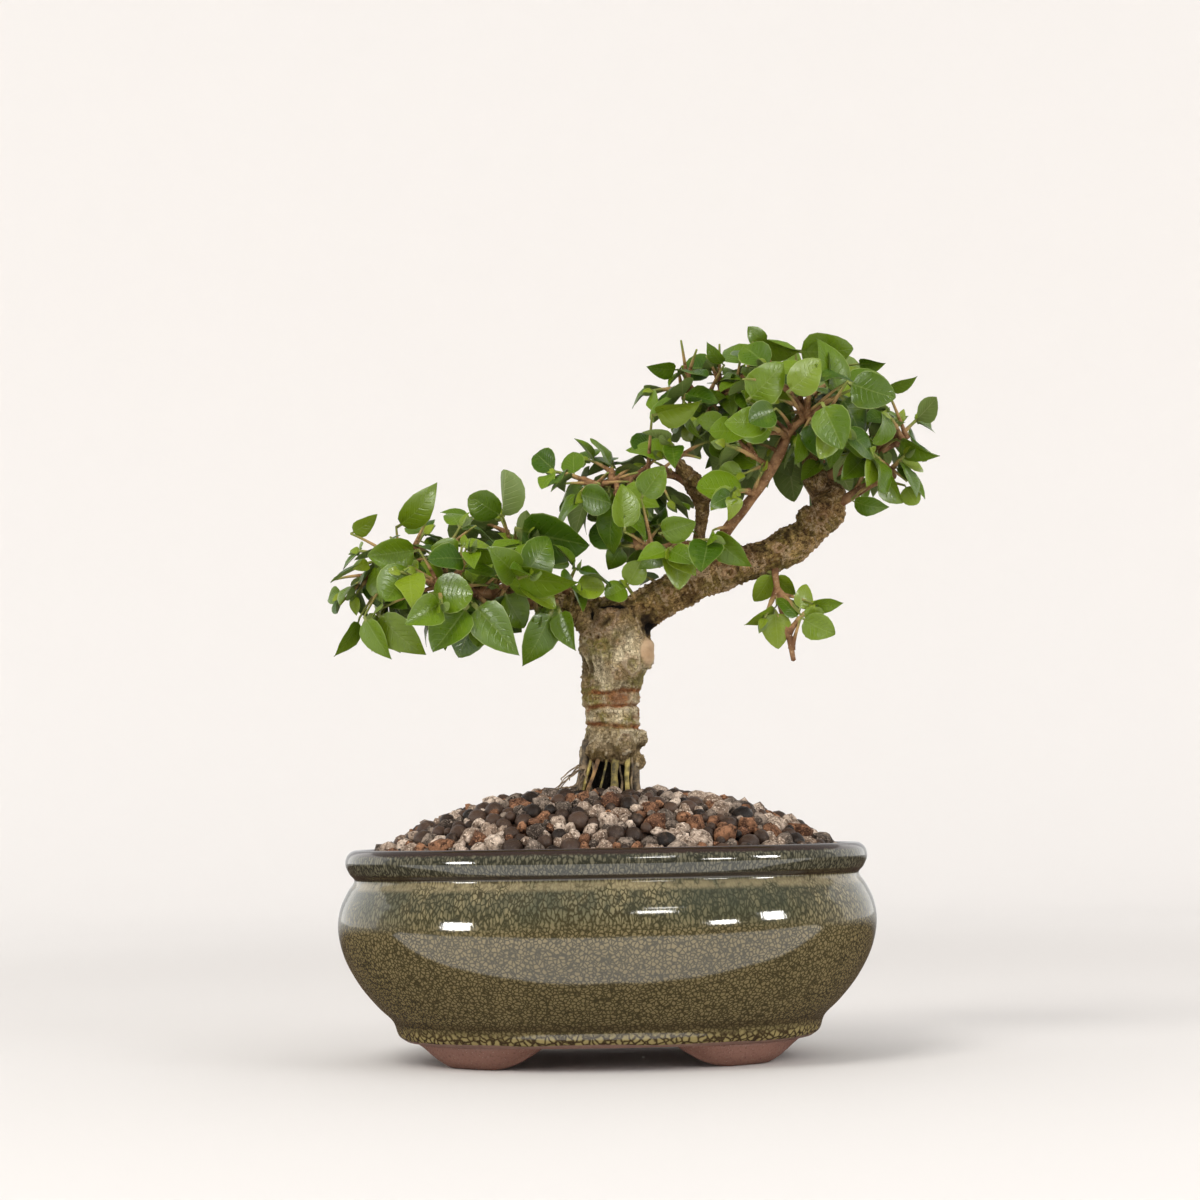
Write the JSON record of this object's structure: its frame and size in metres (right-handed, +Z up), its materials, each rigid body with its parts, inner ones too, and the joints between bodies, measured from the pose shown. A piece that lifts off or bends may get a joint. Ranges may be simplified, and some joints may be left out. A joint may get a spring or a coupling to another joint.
{
  "type": "bonsai tree in pot",
  "caption": "Small leafy privet bonsai with a leaning bough and three leaf pads, in a glazed oval pot on four feet, filled with coarse granules.",
  "frame": {"origin": "middle of the whole part's box, on the ground under the pot's feet", "axes": "+Z up; X along the pot's length, with the longer bough towards +X; the front of the tree faces -Y"},
  "size_m": [0.2914, 0.2, 0.3414],
  "materials": {
    "glaze": "gloss",
    "clay": "matte",
    "granules": "matte",
    "bark": "matte",
    "leaf": "satin",
    "screen": "matte"
  },
  "bodies": {
    "root": {"pot": "glaze", "pot_foot_front_left": "clay", "pot_foot_front_right": "clay", "pot_foot_back_left": "clay", "pot_foot_back_right": "clay", "drain_screen_left": "screen", "drain_screen_right": "screen", "soil": "granules", "tree_wood": "bark", "leafy_shoot_left_01": "leaf", "leafy_shoot_left_02": "leaf", "leafy_shoot_left_03": "leaf", "leafy_shoot_left_04": "leaf", "leafy_shoot_left_05": "leaf", "leafy_shoot_left_06": "leaf", "leafy_shoot_left_07": "leaf", "leafy_shoot_left_08": "leaf", "leafy_shoot_left_09": "leaf", "leafy_shoot_left_10": "leaf", "leafy_shoot_left_11": "leaf", "leafy_shoot_left_12": "leaf", "leafy_shoot_left_13": "leaf", "leafy_shoot_left_14": "leaf", "leafy_shoot_left_15": "leaf", "leafy_shoot_left_16": "leaf", "leafy_shoot_left_17": "leaf", "leafy_shoot_left_18": "leaf", "leafy_shoot_middle_24": "leaf", "leafy_shoot_middle_26": "leaf", "leafy_shoot_middle_27": "leaf", "leafy_shoot_middle_28": "leaf", "leafy_shoot_crown_29": "leaf", "leafy_shoot_crown_30": "leaf", "leafy_shoot_crown_31": "leaf", "leafy_shoot_crown_32": "leaf", "leafy_shoot_crown_33": "leaf", "leafy_shoot_crown_34": "leaf", "leafy_shoot_crown_35": "leaf", "leafy_shoot_crown_36": "leaf", "leafy_shoot_crown_37": "leaf", "leafy_shoot_crown_38": "leaf", "leafy_shoot_crown_39": "leaf", "leafy_shoot_crown_40": "leaf", "leafy_shoot_crown_41": "leaf", "leafy_shoot_crown_42": "leaf", "leafy_shoot_crown_43": "leaf", "leafy_shoot_crown_44": "leaf", "leafy_shoot_crown_45": "leaf", "leafy_shoot_crown_46": "leaf", "leafy_shoot_crown_47": "leaf", "leafy_shoot_crown_48": "leaf", "leafy_shoot_crown_49": "leaf", "leafy_shoot_crown_50": "leaf", "leafy_shoot_crown_51": "leaf", "leafy_shoot_crown_52": "leaf", "leafy_shoot_crown_53": "leaf", "leafy_limb_middle_left": "leaf", "leafy_limb_hanging_twig": "leaf"}
  },
  "joints": []
}
